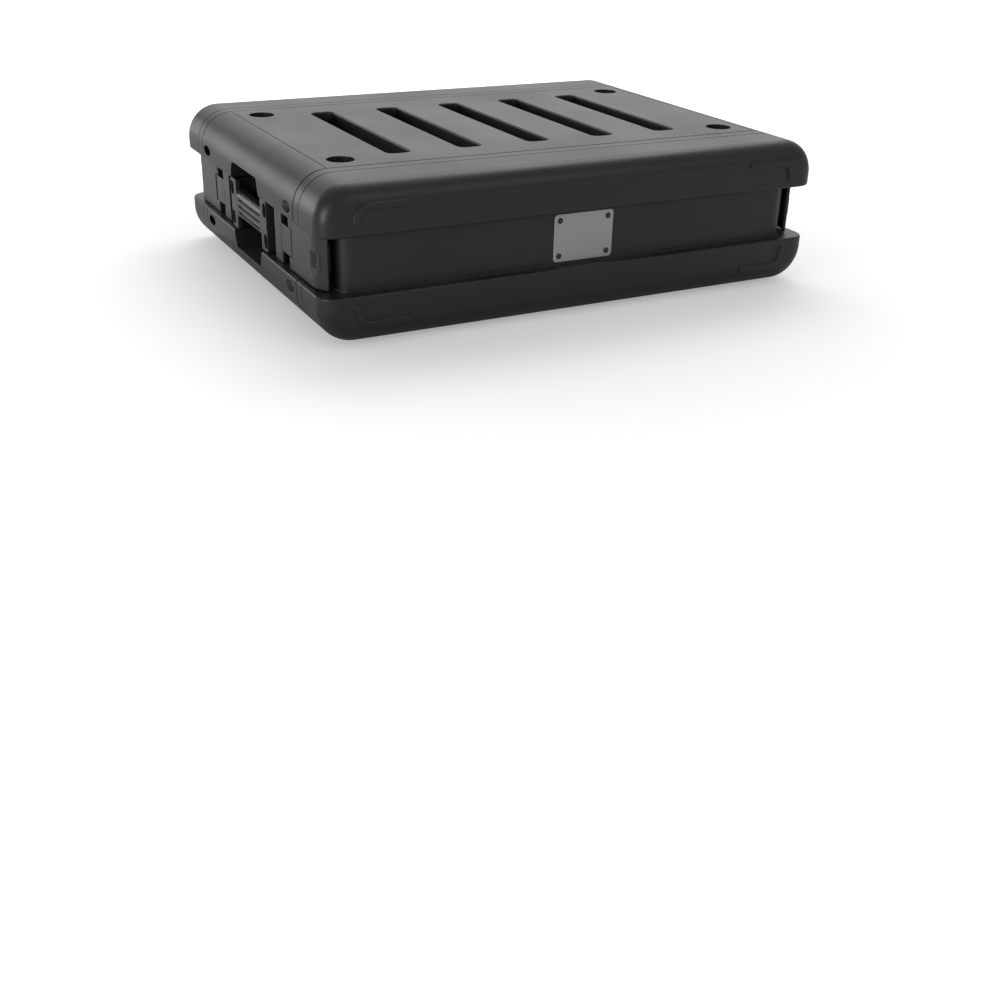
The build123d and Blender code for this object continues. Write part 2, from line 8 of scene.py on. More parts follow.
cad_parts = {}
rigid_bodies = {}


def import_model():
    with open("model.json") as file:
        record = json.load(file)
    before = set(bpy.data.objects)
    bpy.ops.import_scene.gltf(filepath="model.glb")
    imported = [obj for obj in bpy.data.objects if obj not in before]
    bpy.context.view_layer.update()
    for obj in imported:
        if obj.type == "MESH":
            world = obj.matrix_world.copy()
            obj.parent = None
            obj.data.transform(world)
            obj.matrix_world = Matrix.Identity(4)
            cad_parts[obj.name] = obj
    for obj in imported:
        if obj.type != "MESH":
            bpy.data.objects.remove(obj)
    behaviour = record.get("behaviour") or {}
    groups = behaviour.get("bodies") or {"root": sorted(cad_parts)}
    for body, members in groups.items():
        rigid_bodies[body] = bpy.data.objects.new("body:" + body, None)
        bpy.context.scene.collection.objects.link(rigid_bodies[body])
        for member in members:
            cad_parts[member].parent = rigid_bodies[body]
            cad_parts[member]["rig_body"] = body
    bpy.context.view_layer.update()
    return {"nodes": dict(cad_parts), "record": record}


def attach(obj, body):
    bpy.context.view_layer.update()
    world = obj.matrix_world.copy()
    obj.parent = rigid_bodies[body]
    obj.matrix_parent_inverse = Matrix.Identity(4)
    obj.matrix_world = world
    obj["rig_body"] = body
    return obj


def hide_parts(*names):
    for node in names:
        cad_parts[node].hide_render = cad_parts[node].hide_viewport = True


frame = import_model()
nodes = frame["nodes"]
slot_of = {part["node"]: part["material_slot"] for part in frame["record"]["subparts"]}

# Camera
# It stands in front of the left corner and looks down on the case, as in the photograph.
# The image is square, and the lens is given for a 36 mm wide sensor.

camera_azimuth = math.radians(-28.57)
camera_elevation = math.radians(27.39)
camera_roll = math.radians(1.64)
camera_place = (-0.67223, -1.28211, 0.43132)
back = Vector((math.sin(camera_azimuth) * math.cos(camera_elevation),
               -math.cos(camera_azimuth) * math.cos(camera_elevation),
               math.sin(camera_elevation)))
level_right = back.cross(Vector((0, 0, -1))).normalized()
level_up = back.cross(level_right)
right = level_right * math.cos(camera_roll) + level_up * math.sin(camera_roll)
up = level_up * math.cos(camera_roll) - level_right * math.sin(camera_roll)
camera_data = bpy.data.cameras.new("camera")
camera_data.lens = 45.68
camera_data.sensor_width = 36.0
camera = bpy.data.objects.new("camera", camera_data)
camera.matrix_world = Matrix.Translation(camera_place) @ Matrix((right, up, back)).transposed().to_4x4()
bpy.context.scene.collection.objects.link(camera)
bpy.context.scene.camera = camera
bpy.context.scene.view_settings.view_transform = "Standard"

# Studio
# A large soft box far behind the case, which the top mirrors at a low angle, one at its left
# for the side and the upright corners, and a weak one in front, so that the front stays deep.


def area_lamp(name, place, target, width, height, radiance):
    """A rectangular lamp that shines from a place at a target point, of the given brightness."""
    data = bpy.data.lights.new(name, "AREA")
    data.shape = "RECTANGLE"
    data.size = width
    data.size_y = height
    data.energy = radiance * math.pi * width * height
    lamp = bpy.data.objects.new(name, data)
    lamp.location = place
    lamp.rotation_mode = "QUATERNION"
    lamp.rotation_quaternion = (Vector(target) - Vector(place)).to_track_quat("-Z", "Y")
    bpy.context.scene.collection.objects.link(lamp)


area_lamp("rear_box", (1.3, 2.5, 1.0), (0, 0, 0.15), 4.4, 2.0, 0.75)
area_lamp("overhead_box", (0.75, 1.3, 2.2), (0, 0, 0.15), 2.2, 1.3, 3.0)
area_lamp("side_box", (-1.5, 2.0, 0.45), (0, 0, 0.1), 1.4, 0.8, 2.4)
area_lamp("corner_box", (-2.2, -0.9, 0.45), (0, 0, 0.1), 0.6, 0.8, 9.0)
area_lamp("front_box", (0.9, -2.6, 1.7), (0, 0, 0.1), 1.4, 1.2, 1.2)

world = bpy.data.worlds.new("studio_air")
bpy.context.scene.world = world
world.use_nodes = True
air = world.node_tree.nodes
air["Background"].inputs["Color"].default_value = (1, 1, 1, 1)
air["Background"].inputs["Strength"].default_value = 0.35

floor_half = 6.0
floor_mesh = bpy.data.meshes.new("floor")
floor_mesh.from_pydata([(-floor_half, -floor_half, 0), (floor_half, -floor_half, 0),
                        (floor_half, floor_half, 0), (-floor_half, floor_half, 0)], [], [(0, 1, 2, 3)])
floor = bpy.data.objects.new("floor", floor_mesh)
bpy.context.scene.collection.objects.link(floor)
floor_paint = bpy.data.materials.new("pale_paper")
floor_paint.use_nodes = True
floor_tree = floor_paint.node_tree
floor_shader = floor_tree.nodes["Principled BSDF"]
floor_shader.inputs["Base Color"].default_value = (0.8, 0.8, 0.8, 1)
floor_shader.inputs["Roughness"].default_value = 0.95
floor_shader.inputs["Specular IOR Level"].default_value = 0.1
floor_shader.inputs["Emission Color"].default_value = (1, 1, 1, 1)
seen_by_camera = floor_tree.nodes.new("ShaderNodeLightPath")
floor_place = floor_tree.nodes.new("ShaderNodeTexCoord")
floor_distance = floor_tree.nodes.new("ShaderNodeVectorMath")
floor_distance.operation = "LENGTH"
floor_far = floor_tree.nodes.new("ShaderNodeMapRange")
for label, number in (("From Min", 0.3), ("From Max", 1.5), ("To Min", 0.35), ("To Max", 1.0)):
    floor_far.inputs[label].default_value = number
glow = floor_tree.nodes.new("ShaderNodeMath")
glow.operation = "MULTIPLY"
floor_tree.links.new(floor_place.outputs["Object"], floor_distance.inputs[0])
floor_tree.links.new(floor_distance.outputs["Value"], floor_far.inputs["Value"])
floor_tree.links.new(floor_far.outputs["Result"], glow.inputs[1])
floor_tree.links.new(seen_by_camera.outputs["Is Camera Ray"], glow.inputs[0])
floor_tree.links.new(glow.outputs[0], floor_shader.inputs["Emission Strength"])
floor_mesh.materials.append(floor_paint)

# Lids
# Black moulded polyethylene covers, rotationally moulded in one piece with a 4 mm wall: two bumper
# bands round a recessed belt, rub strips at the corners, a sealing flange inside and a catch at
# each end of the belt for the latch. The latches pull them against the rim gaskets.

millimetre = 0.001
middle_height = 80.0


def node_group(name, inputs, outputs):
    """An empty shader node group with the given sockets, and its input and output nodes."""
    tree = bpy.data.node_groups.new(name, "ShaderNodeTree")
    for way, sockets in (("INPUT", inputs), ("OUTPUT", outputs)):
        for label, kind, value in sockets:
            socket = tree.interface.new_socket(name=label, in_out=way, socket_type="NodeSocket" + kind)
            if value is not None:
                socket.default_value = value
    return tree, tree.nodes.new("NodeGroupInput"), tree.nodes.new("NodeGroupOutput")


def map_range(tree, value, low, high, to_low, to_high):
    """A node that maps a value's range to another range."""
    node = tree.nodes.new("ShaderNodeMapRange")
    for label, number in (("From Min", low), ("From Max", high), ("To Min", to_low), ("To Max", to_high)):
        node.inputs[label].default_value = number
    tree.links.new(value, node.inputs["Value"])
    return node.outputs["Result"]


def noise(tree, scale, detail, place):
    """A noise texture on object coordinates."""
    node = tree.nodes.new("ShaderNodeTexNoise")
    node.inputs["Detail"].default_value = detail
    tree.links.new(place, node.inputs["Vector"])
    if isinstance(scale, (int, float)):
        node.inputs["Scale"].default_value = scale
    else:
        tree.links.new(scale, node.inputs["Scale"])
    return node.outputs["Fac"]


def make_grain():
    """Node group: fine mould grain as a height, slow cloudiness of the gloss and dust that lies on top."""
    tree, inside, outside = node_group(
        "mould_grain", [("Scale", "Float", 1400.0)],
        [("Height", "Float", None), ("Cloud", "Float", None), ("Dust", "Float", None)])
    link = tree.links.new
    place = tree.nodes.new("ShaderNodeTexCoord").outputs["Object"]
    pits = tree.nodes.new("ShaderNodeTexVoronoi")
    pits.feature = "SMOOTH_F1"
    link(place, pits.inputs["Vector"])
    link(inside.outputs["Scale"], pits.inputs["Scale"])
    both = tree.nodes.new("ShaderNodeMath")
    link(pits.outputs["Distance"], both.inputs[0])
    link(noise(tree, inside.outputs["Scale"], 3.0, place), both.inputs[1])
    link(both.outputs[0], outside.inputs["Height"])
    link(noise(tree, 9.0, 4.0, place), outside.inputs["Cloud"])
    normal = tree.nodes.new("ShaderNodeNewGeometry")
    parts = tree.nodes.new("ShaderNodeSeparateXYZ")
    link(normal.outputs["Normal"], parts.inputs["Vector"])
    upward = map_range(tree, parts.outputs["Z"], 0.6, 1.0, 0.0, 1.0)
    specks = map_range(tree, noise(tree, 420.0, 6.0, place), 0.62, 0.8, 0.0, 1.0)
    film = map_range(tree, noise(tree, 14.0, 5.0, place), 0.35, 0.8, 0.0, 0.35)
    most = tree.nodes.new("ShaderNodeMath")
    most.operation = "MAXIMUM"
    link(specks, most.inputs[0])
    link(film, most.inputs[1])
    dust = tree.nodes.new("ShaderNodeMath")
    dust.operation = "MULTIPLY"
    link(most.outputs[0], dust.inputs[0])
    link(upward, dust.inputs[1])
    link(dust.outputs[0], outside.inputs["Dust"])
    return tree


def make_rubbed_edges():
    """Node group: a mask that is 1 on sharp outer edges, from how far a rounded normal leans off the true one."""
    tree, inside, outside = node_group(
        "rubbed_edges", [("Width", "Float", 0.0008)], [("Mask", "Float", None), ("Soft Normal", "Vector", None)])
    link = tree.links.new
    bevel = tree.nodes.new("ShaderNodeBevel")
    bevel.samples = 6
    link(inside.outputs["Width"], bevel.inputs["Radius"])
    geometry = tree.nodes.new("ShaderNodeNewGeometry")
    facing = tree.nodes.new("ShaderNodeVectorMath")
    facing.operation = "DOT_PRODUCT"
    link(bevel.outputs["Normal"], facing.inputs[0])
    link(geometry.outputs["Normal"], facing.inputs[1])
    edge = map_range(tree, facing.outputs["Value"], 0.995, 0.85, 0.0, 1.0)
    place = tree.nodes.new("ShaderNodeTexCoord").outputs["Object"]
    patches = map_range(tree, noise(tree, 60.0, 4.0, place), 0.4, 0.65, 0.15, 1.0)
    broken = tree.nodes.new("ShaderNodeMath")
    broken.operation = "MULTIPLY"
    link(edge, broken.inputs[0])
    link(patches, broken.inputs[1])
    link(broken.outputs[0], outside.inputs["Mask"])
    link(bevel.outputs["Normal"], outside.inputs["Soft Normal"])
    return tree


grain_group = make_grain()
edge_group = make_rubbed_edges()


def moulded_plastic(name, dark, pale, smooth, rough, grain_scale, grain_depth):
    """Moulded plastic: grain as bump, cloudy gloss, rubbed edges a little paler and thin dust on top."""
    material = bpy.data.materials.new(name)
    material.use_nodes = True
    tree = material.node_tree
    link = tree.links.new
    shader = tree.nodes["Principled BSDF"]
    grain = tree.nodes.new("ShaderNodeGroup")
    grain.node_tree = grain_group
    grain.inputs["Scale"].default_value = grain_scale
    edges = tree.nodes.new("ShaderNodeGroup")
    edges.node_tree = edge_group
    tint = tree.nodes.new("ShaderNodeMix")
    tint.data_type = "RGBA"
    tint.inputs["A"].default_value = (*dark, 1)
    tint.inputs["B"].default_value = (*pale, 1)
    link(edges.outputs["Mask"], tint.inputs["Factor"])
    dusty = tree.nodes.new("ShaderNodeMix")
    dusty.data_type = "RGBA"
    dusty.inputs["B"].default_value = (0.11, 0.105, 0.1, 1)
    link(grain.outputs["Dust"], dusty.inputs["Factor"])
    link(tint.outputs["Result"], dusty.inputs["A"])
    link(dusty.outputs["Result"], shader.inputs["Base Color"])
    link(map_range(tree, grain.outputs["Cloud"], 0.3, 0.7, smooth, rough), shader.inputs["Roughness"])
    bump = tree.nodes.new("ShaderNodeBump")
    bump.inputs["Distance"].default_value = grain_depth
    link(grain.outputs["Height"], bump.inputs["Height"])
    link(edges.outputs["Soft Normal"], bump.inputs["Normal"])
    link(bump.outputs["Normal"], shader.inputs["Normal"])
    return material


finishes = {"shell_plastic": moulded_plastic("shell_plastic", (0.013, 0.013, 0.014), (0.03, 0.03, 0.031),
                                             0.36, 0.44, 1500, 0.00004)}


def quads(rows, columns, loop_rows, loop_columns):
    """Corner indices of the quads of a grid, closed on itself where asked."""
    index = np.arange(rows * columns).reshape(rows, columns)
    if loop_rows:
        index = np.vstack([index, index[:1]])
    if loop_columns:
        index = np.hstack([index, index[:, :1]])
    return np.stack([index[:-1, :-1], index[:-1, 1:], index[1:, 1:], index[1:, :-1]], axis=-1).reshape(-1, 4)


def build_piece(name, node, grids, crease=32.0):
    """One object that stands for a CAD node, from grids of points (rows, columns, xyz) in millimetres
    with Z from mid height. Each grid comes with whether its rows and its columns close on themselves.
    Points that meet are merged, so that neighbouring grids share one skin."""
    points, faces, first = [], [], 0
    for grid, loop_rows, loop_columns in grids:
        rows, columns = grid.shape[:2]
        points.append(grid.reshape(-1, 3) + (0, 0, middle_height))
        faces.append(quads(rows, columns, loop_rows, loop_columns) + first)
        first += rows * columns
    mesh = bpy.data.meshes.new(name)
    mesh.from_pydata((np.concatenate(points) * millimetre).tolist(), [], np.concatenate(faces).tolist())
    return finish_piece(name, node, mesh, crease)


def finish_piece(name, node, mesh, crease, flat_angle=0.0):
    """Merge the mesh's doubles, turn its faces outwards, smooth its round stretches and join it to its node."""
    shape = bmesh.new()
    shape.from_mesh(mesh)
    bmesh.ops.remove_doubles(shape, verts=shape.verts, dist=0.00001)
    bmesh.ops.dissolve_degenerate(shape, edges=shape.edges, dist=0.000001)
    if flat_angle:
        bmesh.ops.dissolve_limit(shape, angle_limit=math.radians(flat_angle), verts=shape.verts, edges=shape.edges)
    bmesh.ops.recalc_face_normals(shape, faces=shape.faces)
    shape.to_mesh(mesh)
    shape.free()
    mesh.shade_smooth()
    mesh.set_sharp_from_angle(angle=math.radians(crease))
    piece = bpy.data.objects.new(name, mesh)
    bpy.context.scene.collection.objects.link(piece)
    weighted = piece.modifiers.new("flat_faces_stay_flat", "WEIGHTED_NORMAL")
    weighted.keep_sharp = True
    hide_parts(node)
    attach(piece, nodes[node]["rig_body"])
    mesh.materials.clear()
    mesh.materials.append(finishes[slot_of[node]])
    return piece


def arc(start, end, steps):
    """Cosines and sines of even steps along an arc, angles in degrees."""
    angle = np.radians(np.linspace(start, end, steps + 1))
    return np.cos(angle), np.sin(angle)


def mirrored(points):
    """The same run of points continued in reverse on the other side of X = 0."""
    return np.concatenate([points, points[::-1] * (-1, 1, 1)])


def lid_arch():
    """Front view of the upper band from its left end over the top to its right end, as points (x, z) on
    the outer skin with their inward normals: upright sides, 36 mm corners and a flat top."""
    cosine, sine = arc(0, 90, 18)
    side_z = np.array([0.0, 0.5])
    left = np.column_stack([np.full(2, -286.0), side_z, np.ones(2), np.zeros(2)])
    corner = np.column_stack([-250 - 36 * cosine, 40 + 36 * sine, cosine, -sine])
    top_x = np.linspace(-250, 0, 8)[1:]
    top = np.column_stack([top_x, np.full(7, 76.0), np.zeros(7), -np.ones(7)])
    half = np.concatenate([left, corner, top])
    return np.concatenate([half, half[-2::-1] * (-1, 1, -1, 1)])


def lid_skin(wall, lip, root, plinth, chamfer):
    """Skin of a lid at a depth under its outer face. The quarter-round front profile is carried along the
    arch of the band, the flat front is ruled down to the band's edge, the edge rolls under with a small
    radius, runs in to the belt and rolls down its wall to a low plinth. The lower band mirrors the upper one.
    It returns the grids and the open edge at the back."""
    edge_z = 28 + wall + lip
    arch = lid_arch()
    arch[:2, 1] = edge_z + (40 - edge_z) * arch[:2, 1]
    arch[-2:, 1] = arch[1::-1, 1]
    cosine, sine = arc(0, 90, 14)
    reach = 20 - wall
    inset = np.concatenate([[wall + chamfer, wall, wall], wall + reach * (1 - cosine[1:])])
    depth = np.concatenate([[164.5, 165.1, 199.5], 199.5 + reach * sine[1:]])
    band = np.empty((len(inset), len(arch), 3))
    band[..., 0] = arch[:, 0] + arch[:, 2] * inset[:, None]
    band[..., 1] = -depth[:, None]
    band[..., 2] = arch[:, 1] + arch[:, 3] * inset[:, None]
    foot = band[-1].copy()
    foot[:, 2] = edge_z
    face = np.stack([band[-1], foot])
    side = band[:, 0]
    front = foot[2:len(arch) - 2]
    around = np.concatenate([side, front[1:-1], side[::-1] * (-1, 1, 1)])
    turn = np.column_stack([np.concatenate([[1, 1, 1], cosine[1:]]), np.concatenate([[0, 0, 0], sine[1:]]),
                            np.zeros(len(side))])
    inward = np.concatenate([turn, np.tile([0.0, 1.0, 0.0], (len(front) - 2, 1)), turn[::-1] * (-1, 1, 1)])
    belt_side = np.column_stack([
        np.concatenate([np.array([chamfer, 0, 0]) + wall - 262, -242 - (20 - wall) * cosine[1:]]),
        -np.concatenate([[164.5, 165.1, 187.0], 187 + (20 - wall) * sine[1:]]),
        np.zeros(len(side))])
    belt_front = front[1:-1] * (242 / 266, 0, 0) + (0, -207 + wall, 0)
    belt = np.concatenate([belt_side, belt_front, belt_side[::-1] * (-1, 1, 1)])
    edge_cos, edge_sin = arc(0, 90, 5)
    roll = around + inward * (lip * (1 - edge_cos))[:, None, None]
    roll[..., 2] = (edge_z - lip * edge_sin)[:, None]
    drop = belt - inward * (root * (1 - edge_sin))[:, None, None]
    drop[..., 2] = (28 + wall - root * (1 - edge_cos))[:, None]
    under = np.concatenate([roll, drop])
    low_band, low_face, low_under = (grid * (1, 1, -1) for grid in (band, face, under))
    step = np.array([[0, -25.2], [0.2, -25.5], [0.88, -25.5], [1, -25.8], [1, -28.0 - wall]])
    raised = belt - inward * (plinth * step[:, 0])[:, None, None]
    raised[..., 2] = step[:, 1:]
    wall_rows = np.concatenate([under[-1:], raised])
    low_under = np.concatenate([low_under[:len(roll)], raised[-1:]])
    edge = np.concatenate([band[0], under[:, -1], wall_rows[:, -1], low_under[::-1, -1], low_band[0, ::-1],
                           low_under[:, 0], wall_rows[::-1, 0], under[::-1, 0]])
    grids = [(grid, False, False) for grid in (band, face, under, wall_rows, low_under, low_band, low_face)]
    return grids, edge


def rounded_loop(half_across, half_up, radius, steps=8):
    """Closed loop of points (a, b) round a rectangle with round corners, the same count for any size."""
    cosine, sine = arc(0, 90, steps)
    quarter = np.column_stack([half_across - radius + radius * cosine, half_up - radius + radius * sine])
    upper = np.concatenate([quarter, quarter[::-1] * (-1, 1)])
    return np.concatenate([upper, upper[::-1] * (1, -1)])


def across_y(loop, y):
    """A loop of points (x, z) set upright at a place along Y."""
    return np.column_stack([loop[:, 0], np.full(len(loop), y), loop[:, 1]])


def slab(low, high, axis, corner, edge):
    """Closed plate between two corners: a rounded outline across the given axis, drawn in by a quarter
    round at both faces, and closed at the middle of each face."""
    low, high = np.array(low, float), np.array(high, float)
    middle, half = (low + high) / 2, (high - low) / 2
    a, b = [k for k in range(3) if k != axis]
    cosine, sine = arc(0, 90, 4)
    drawn_in = edge * np.concatenate([1 - sine, 1 - cosine])
    along = half[axis] - edge * np.concatenate([1 - cosine, 1 - sine])
    along[:5] *= -1
    loops = np.stack([rounded_loop(half[a] - inset, half[b] - inset, corner - inset) for inset in drawn_in])
    rows = np.empty((*loops.shape[:2], 3))
    rows[..., a], rows[..., b], rows[..., axis] = loops[..., 0], loops[..., 1], along[:, None]
    shut = np.ones(3)
    shut[[a, b]] = 0
    return np.concatenate([rows[:1] * shut, rows, rows[-1:] * shut]) + middle, False, True


def whole_loop(quarter):
    """A closed loop from the quarter of it that runs from the right end to the top."""
    upper = np.concatenate([quarter, quarter[-2::-1] * (-1, 1)])
    return np.concatenate([upper, upper[-2:0:-1] * (1, -1)])


def case_loop(inset):
    """Front view of the shell as a closed loop of points (x, z), drawn in by an inset: belt wall, a small
    round at the root and lip of the band, a 36 mm corner and a flat top."""
    cosine, sine = arc(0, 90, 4)
    belt_x, belt_z, side_x = 262 - inset, 28 + inset, 286 - inset
    root = np.column_stack([belt_x + 2 * (1 - cosine), belt_z - 2 * (1 - sine)])
    lip = np.column_stack([side_x - 2 * (1 - sine), belt_z + 2 * (1 - cosine)])
    turn_cos, turn_sin = arc(0, 90, 18)
    corner = np.column_stack([250 + (36 - inset) * turn_cos, 40 + (36 - inset) * turn_sin])
    return whole_loop(np.concatenate([[[belt_x, 0]], root, lip, corner, [[0, 76 - inset]]]))


def opening_loop(grow):
    """The rack opening as a loop that matches the case loop point by point, grown by an amount."""
    across, up, radius = 245 + grow, 49 + grow, 6 + grow
    turn_cos, turn_sin = arc(0, 90, 18)
    side = np.column_stack([np.full(11, across), np.linspace(0, up - radius - 1, 11)])
    corner = np.column_stack([across - radius + radius * turn_cos, up - radius + radius * turn_sin])
    return whole_loop(np.concatenate([side, corner, [[0, up]]]))


def ring_rows(stations):
    """Closed ring from (loop, y) stations that run round its section."""
    return np.stack([across_y(loop, y) for loop, y in stations]), True, True


def lid_flange():
    """Flat ring inside the lid, from its walls in to the rim's tongue."""
    outer, inner = case_loop(2.0), opening_loop(4.5)
    return ring_rows([(inner, -167.3), (outer, -167.3), (outer, -170.3), (inner, -170.3)])


def rub_strip(side, up):
    """L-shaped rub strip: a low flat-topped section carried up, round a 14 mm bend and inwards, whose
    width shrinks along a half circle past each end."""
    cosine, sine = arc(0, 90, 8)
    leg = np.column_stack([np.full(2, 250.0), [39.0, 42.0], np.zeros(2), np.ones(2)])
    bend = np.column_stack([236 + 14 * cosine, 42 + 14 * sine, -sine, cosine])
    bar = np.column_stack([np.linspace(236, 198, 5)[1:], np.full(4, 56.0), -np.ones(4), np.zeros(4)])
    path = np.concatenate([leg[:1], bend, bar])
    shrink, past = arc(90, 0, 6)
    first, last = path[:1].repeat(6, axis=0), path[-1:].repeat(6, axis=0)
    first[:, :2] -= first[:, 2:] * 3.25 * past[:6, None]
    last[:, :2] += last[:, 2:] * 3.25 * past[5::-1, None]
    width = np.concatenate([shrink[:6], np.ones(len(path)), shrink[5::-1]])
    path = np.concatenate([first, path, last])
    top_cos, top_sin = arc(0, 90, 5)
    flank = np.column_stack([2.05 + 1.2 * top_cos, 220.5 + 1.2 * top_sin])
    half = np.concatenate([[[3.25, 217.6]], flank])
    section = np.concatenate([half, half[::-1] * (-1, 1)])
    rows = np.empty((len(path), len(section), 3))
    rows[..., 0] = side * (path[:, :1] + path[:, 3:] * width[:, None] * section[:, 0])
    rows[..., 1] = -section[:, 1]
    rows[..., 2] = up * (path[:, 1:2] - path[:, 2:3] * width[:, None] * section[:, 0])
    return rows, False, True


def front_lid_grids():
    outer, outer_edge = lid_skin(0.0, 2.0, 1.0, 2.5, 0.6)
    inner, inner_edge = lid_skin(4.0, 0.6, 0.4, 0.0, 0.0)
    grids = outer + inner + [(np.stack([outer_edge, inner_edge]), False, True), lid_flange()]
    for side in (-1, 1):
        ends = sorted((side * 260.5, side * 268.5))
        grids.append(slab((ends[0], -181.5, -15), (ends[1], -177.5, 15), 1, 2.0, 0.7))
        for up in (-1, 1):
            grids.append(rub_strip(side, up))
    return grids


def turned_to_rear(grids):
    """The same grids mirrored to the rear of the case."""
    return [(grid * (1, -1, 1), loop_rows, loop_columns) for grid, loop_rows, loop_columns in grids]


build_piece("front_lid_cover", "front_lid", front_lid_grids())
build_piece("rear_lid_cover", "rear_lid", turned_to_rear(front_lid_grids()))

# Rim frames and gaskets
# Moulded frames that close the shell at both ends: a skin flush with the side mouldings, a face
# plate round the rack opening and a tongue that the lid slides over. A rubber D-section gasket
# lies against the tongue.

finishes["black_rubber"] = moulded_plastic("black_rubber", (0.012, 0.012, 0.012), (0.02, 0.02, 0.02),
                                           0.6, 0.75, 900, 0.00002)


def rim_grids():
    """The rim's section carried round: outer skin, face plate, tongue, rack opening and back."""
    skin, soft, seam_edge = case_loop(0.0), case_loop(0.4), case_loop(0.8)
    tongue, tongue_soft, opening = opening_loop(3.0), opening_loop(2.4), opening_loop(0.0)
    stations = [(seam_edge, -149.5), (skin, -150.3), (skin, -163.6), (soft, -164.0), (tongue, -164.0),
                (tongue, -172.4), (tongue_soft, -173.0), (opening_loop(0.6), -173.0), (opening, -172.4),
                (opening, -149.5), (tongue, -149.5), (tongue, -160.0), (case_loop(4.0), -160.0),
                (case_loop(4.0), -149.5)]
    grids = [ring_rows(stations)]
    for up in (-1, 1):
        heights = sorted((up * 68.1, up * 71.9))
        grids.append(slab((-240.5, -150.5, heights[0]), (240.5, -138.0, heights[1]), 2, 2.0, 0.5))
        for side in (-1, 1):
            grids.append(turned((side * 277.0, up * 39.0), [(6, -161.5), (6, -150.0), (5.5, -149.5), (2.2, -149.5)]))
    return grids


def turned(centre, stations):
    """Round form about an axis along Y through (x, z), from (radius, y) stations, closed at both ends."""
    cosine, sine = arc(0, 360, 32)
    circle = np.column_stack([cosine[:-1], sine[:-1]])
    rows = [across_y(circle * radius + centre, y) for radius, y in [(0, stations[0][1]), *stations, (0, stations[-1][1])]]
    return np.stack(rows), False, True


build_piece("rim_front_frame", "rim_front", rim_grids())
build_piece("rim_rear_frame", "rim_rear", turned_to_rear(rim_grids()))


def gasket_grids():
    """Flat back on the face plate and a rounded front, 6 mm wide and 3 mm thick."""
    cosine, sine = arc(0, 180, 8)
    stations = [(opening_loop(3.3 + 3 - 3 * c), -164.0 - 1.4 - 1.6 * s) for c, s in zip(cosine, sine)]
    return [ring_rows([(opening_loop(3.3), -164.0), *stations, (opening_loop(9.3), -164.0)])]


build_piece("gasket_front_seal", "gasket_front", gasket_grids())
build_piece("gasket_rear_seal", "gasket_rear", turned_to_rear(gasket_grids()))

# Draw latches
# Black glass-filled nylon, injection moulded. A base with two ears is riveted to the belt wall and
# carries the link; the lever turns on the link, wraps the corner of the lid and hooks its catch.
# Its bend has an oval thumb dish with three slots and a small upright rib near the tip.

finishes["latch_plastic"] = moulded_plastic("latch_plastic", (0.02, 0.02, 0.021), (0.045, 0.045, 0.045),
                                            0.3, 0.38, 2200, 0.00001)


def smooth_step(value):
    """Rises from 0 to 1 with level ends."""
    value = np.clip(value, 0, 1)
    return value * value * (3 - 2 * value)


def lever_relief(along, up):
    """Depth of the lever's outer face under its plain form: a facet that flattens the bend, whose edge is an
    oval, three slots that cut deeper, and a raised rib. Along runs from the oval's middle to the tip."""
    dish = np.maximum(1.15 * (1 - (up / 15.0) ** 2) - along ** 2 / 52.0, 0)
    slots = sum(smooth_step((0.95 - np.abs(along - place)) / 0.3) for place in (-3.6, 0, 3.6))
    slots = 1.3 * slots * smooth_step((8.2 - np.abs(up)) / 0.5)
    rib = 0.7 * smooth_step((0.95 - np.abs(along - 10.0)) / 0.5) * smooth_step((9.5 - np.abs(up)) / 0.8)
    return dish + slots - rib


def lever_path(distance, depth):
    """Plan place at a distance from the slot's end and a depth under the outer face: straight along the
    belt, then round a 26 mm bend through 50 degrees. It gives (x, y) columns."""
    straight = 178.0 - 126.1
    angle = np.maximum(distance - straight, 0) / 26.0
    x = -280.0 + 26.0 - (26.0 - depth) * np.cos(angle)
    y = -126.1 - np.minimum(distance, straight) - (26.0 - depth) * np.sin(angle)
    return x, y


